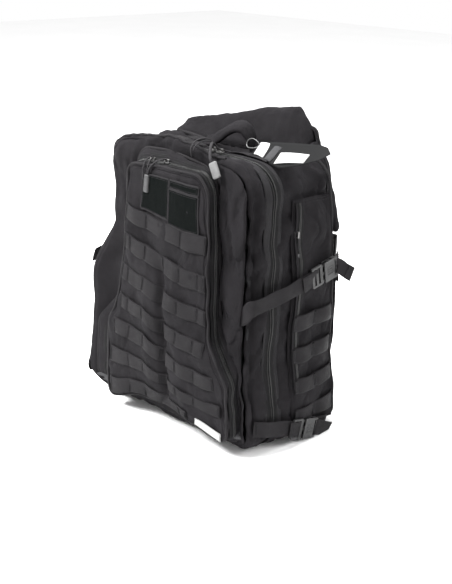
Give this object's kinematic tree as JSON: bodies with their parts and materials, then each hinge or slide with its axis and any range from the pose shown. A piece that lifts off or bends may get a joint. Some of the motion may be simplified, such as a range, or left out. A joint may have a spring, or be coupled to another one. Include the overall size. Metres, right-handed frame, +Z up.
{
  "type": "trauma backpack",
  "caption": "Clamshell load-carrying medical pack with a hinged lid, front pocket, webbing grid, compression straps and padded shoulder straps.",
  "frame": {"origin": "middle of the base, on the surface the pack stands on", "axes": "+Z up, -Y out of the front face (away from the wearer), +X to the right seen from the front"},
  "size_m": [0.3914, 0.2939, 0.4965],
  "materials": {
    "buckle_polymer": "moulded, slightly worn",
    "card": "coated card, blank",
    "clear_loop": "white plastic",
    "cord": "round cord with a moulded tab",
    "frame_sheet": "moulded sheet",
    "label": "white woven label, blank",
    "lining": "light nylon lining",
    "loop_pile": "short loop pile, green-black",
    "mesh": "open mesh",
    "nylon": "coarse woven nylon, matte",
    "padded_nylon": "smooth padded nylon",
    "slider_metal": "black enamel, worn to bright metal at the edges",
    "webbing": "ribbed webbing",
    "zipper": "herringbone tape with a coil"
  },
  "bodies": {
    "pack": {"back_pads": "padded_nylon", "base_panel": "nylon", "buckle_sockets": "buckle_polymer", "frame_sheet": "frame_sheet", "handle_anchor_tabs": "webbing", "hydration_sleeve": "nylon", "inner_slip_pocket": "lining", "main_shell": "nylon", "main_zip_rear_tape": "zipper", "rear_strap_anchors": "webbing", "shoulder_yoke": "padded_nylon", "side_pocket_left": "nylon", "side_pocket_right": "nylon", "side_webbing_left": "webbing", "side_webbing_right": "webbing", "side_zip_left": "zipper", "side_zip_right": "zipper", "strap_lower_anchors": "webbing"},
    "lid": {"main_lid_shell": "nylon", "main_zip_front_tape": "zipper", "lid_mesh_pockets": "mesh", "front_pocket_gusset": "nylon", "front_zip_rear_tape": "zipper", "organizer_panel": "lining", "upper_strap_left": "webbing", "upper_strap_right": "webbing", "lower_strap_left": "webbing", "lower_strap_right": "webbing", "zipper_end_tabs": "webbing"},
    "front_pocket": {"front_pocket_cover": "nylon", "front_zip_front_tape": "zipper", "front_webbing": "webbing", "loop_patches": "loop_pile", "woven_label": "label"},
    "hydration_flap": {"hydration_flap": "padded_nylon"},
    "grab_handle": {"grab_handle": "padded_nylon"},
    "shoulder_left": {"shoulder_strap_left": "padded_nylon", "strap_ladder_lock_left": "buckle_polymer", "strap_webbing_left": "webbing"},
    "sternum_left": {"sternum_strap_left": "webbing"},
    "upper_tongue_left": {"upper_tongue_left": "buckle_polymer"},
    "lower_tongue_left": {"lower_tongue_left": "buckle_polymer"},
    "side_slider_left": {"side_slider_left": "slider_metal"},
    "side_pull_left": {"side_pull_left": "cord"},
    "front_slider_left": {"front_slider_left": "slider_metal"},
    "front_pull_left": {"front_pull_left": "cord"},
    "main_slider_left": {"main_slider_left": "slider_metal"},
    "main_pull_left": {"main_pull_left": "cord"},
    "shoulder_right": {"shoulder_strap_right": "padded_nylon", "strap_ladder_lock_right": "buckle_polymer", "strap_webbing_right": "webbing"},
    "sternum_right": {"sternum_strap_right": "webbing"},
    "upper_tongue_right": {"upper_tongue_right": "buckle_polymer"},
    "lower_tongue_right": {"lower_tongue_right": "buckle_polymer"},
    "side_slider_right": {"side_slider_right": "slider_metal"},
    "side_pull_right": {"side_pull_right": "cord"},
    "front_slider_right": {"front_slider_right": "slider_metal"},
    "front_pull_right": {"front_pull_right": "cord"},
    "main_slider_right": {"main_slider_right": "slider_metal"},
    "main_pull_right": {"main_pull_right": "cord"},
    "hang_tag": {"hang_tag_cards": "card", "hang_tag_loop": "clear_loop"}
  },
  "joints": [
    {"name": "lid_hinge", "type": "hinge", "parent": "pack", "child": "lid", "pos_m": [0, -0.048, 0.004], "axis": [1, 0, 0], "range_deg": [0, 105]},
    {"name": "front_pocket_hinge", "type": "hinge", "parent": "lid", "child": "front_pocket", "pos_m": [0, -0.107, 0.018], "axis": [1, 0, 0], "range_deg": [0, 95]},
    {"name": "flap_hinge", "type": "hinge", "parent": "pack", "child": "hydration_flap", "pos_m": [0, 0.122, 0.488], "axis": [-1, 0, 0], "range_deg": [0, 100]},
    {"name": "handle_hinge", "type": "hinge", "parent": "pack", "child": "grab_handle", "pos_m": [0, 0.014, 0.449], "axis": [1, 0, 0], "range_deg": [-15, 70]},
    {"name": "shoulder_left_hinge", "type": "hinge", "parent": "pack", "child": "shoulder_left", "pos_m": [-0.07, 0.132, 0.4635], "axis": [1, 0, 0], "range_deg": [0, 45]},
    {"name": "sternum_left_slide", "type": "slide", "parent": "shoulder_left", "child": "sternum_left", "axis": [0, 0, 1], "range_m": [-0.03, 0.05]},
    {"name": "upper_buckle_left_slide", "type": "slide", "parent": "lid", "child": "upper_tongue_left", "axis": [0, -0.9816, -0.1908], "range_m": [0, 0.03]},
    {"name": "lower_buckle_left_slide", "type": "slide", "parent": "lid", "child": "lower_tongue_left", "axis": [0, -0.9703, 0.2419], "range_m": [0, 0.024]},
    {"name": "side_slider_left_slide", "type": "slide", "parent": "pack", "child": "side_slider_left", "axis": [0, 0, -1], "range_m": [0, 0.2]},
    {"name": "side_pull_left_hinge", "type": "hinge", "parent": "side_slider_left", "child": "side_pull_left", "pos_m": [-0.1634, 0, 0.335], "axis": [0, 1, 0], "range_deg": [0, 60]},
    {"name": "shoulder_right_hinge", "type": "hinge", "parent": "pack", "child": "shoulder_right", "pos_m": [0.07, 0.132, 0.4635], "axis": [1, 0, 0], "range_deg": [0, 45]},
    {"name": "sternum_right_slide", "type": "slide", "parent": "shoulder_right", "child": "sternum_right", "axis": [0, 0, 1], "range_m": [-0.03, 0.05]},
    {"name": "upper_buckle_right_slide", "type": "slide", "parent": "lid", "child": "upper_tongue_right", "axis": [0, -0.9816, -0.1908], "range_m": [0, 0.03]},
    {"name": "lower_buckle_right_slide", "type": "slide", "parent": "lid", "child": "lower_tongue_right", "axis": [0, -0.9703, 0.2419], "range_m": [0, 0.024]},
    {"name": "side_slider_right_slide", "type": "slide", "parent": "pack", "child": "side_slider_right", "axis": [0, 0, -1], "range_m": [0, 0.2]},
    {"name": "side_pull_right_hinge", "type": "hinge", "parent": "side_slider_right", "child": "side_pull_right", "pos_m": [0.1634, 0, 0.335], "axis": [0, -1, 0], "range_deg": [0, 60]},
    {"name": "front_slider_left_slide", "type": "slide", "parent": "front_pocket", "child": "front_slider_left", "axis": [-1, 0, 0], "range_m": [0, 0.012]},
    {"name": "front_slider_right_slide", "type": "slide", "parent": "front_pocket", "child": "front_slider_right", "axis": [1, 0, 0], "range_m": [0, 0.068]},
    {"name": "main_slider_left_slide", "type": "slide", "parent": "lid", "child": "main_slider_left", "axis": [-1, 0, 0], "range_m": [0, 0.115]},
    {"name": "main_slider_right_slide", "type": "slide", "parent": "lid", "child": "main_slider_right", "axis": [1, 0, 0], "range_m": [0, 0.04]},
    {"name": "front_pull_left_hinge", "type": "hinge", "parent": "front_slider_left", "child": "front_pull_left", "pos_m": [-0.046, -0.107, 0.4285], "axis": [-1, 0, 0], "range_deg": [0, 60]},
    {"name": "front_pull_right_hinge", "type": "hinge", "parent": "front_slider_right", "child": "front_pull_right", "pos_m": [-0.018, -0.107, 0.4285], "axis": [-1, 0, 0], "range_deg": [0, 60]},
    {"name": "main_pull_left_hinge", "type": "hinge", "parent": "main_slider_left", "child": "main_pull_left", "pos_m": [0.028, -0.048, 0.4505], "axis": [-1, 0, 0], "range_deg": [0, 60]},
    {"name": "main_pull_right_hinge", "type": "hinge", "parent": "main_slider_right", "child": "main_pull_right", "pos_m": [0.046, -0.048, 0.4505], "axis": [-1, 0, 0], "range_deg": [0, 60]},
    {"name": "hang_tag_hinge", "type": "hinge", "parent": "pack", "child": "hang_tag", "pos_m": [0.064, -0.006, 0.4556], "axis": [0, -1, 0], "range_deg": [0, 70]}
  ]
}
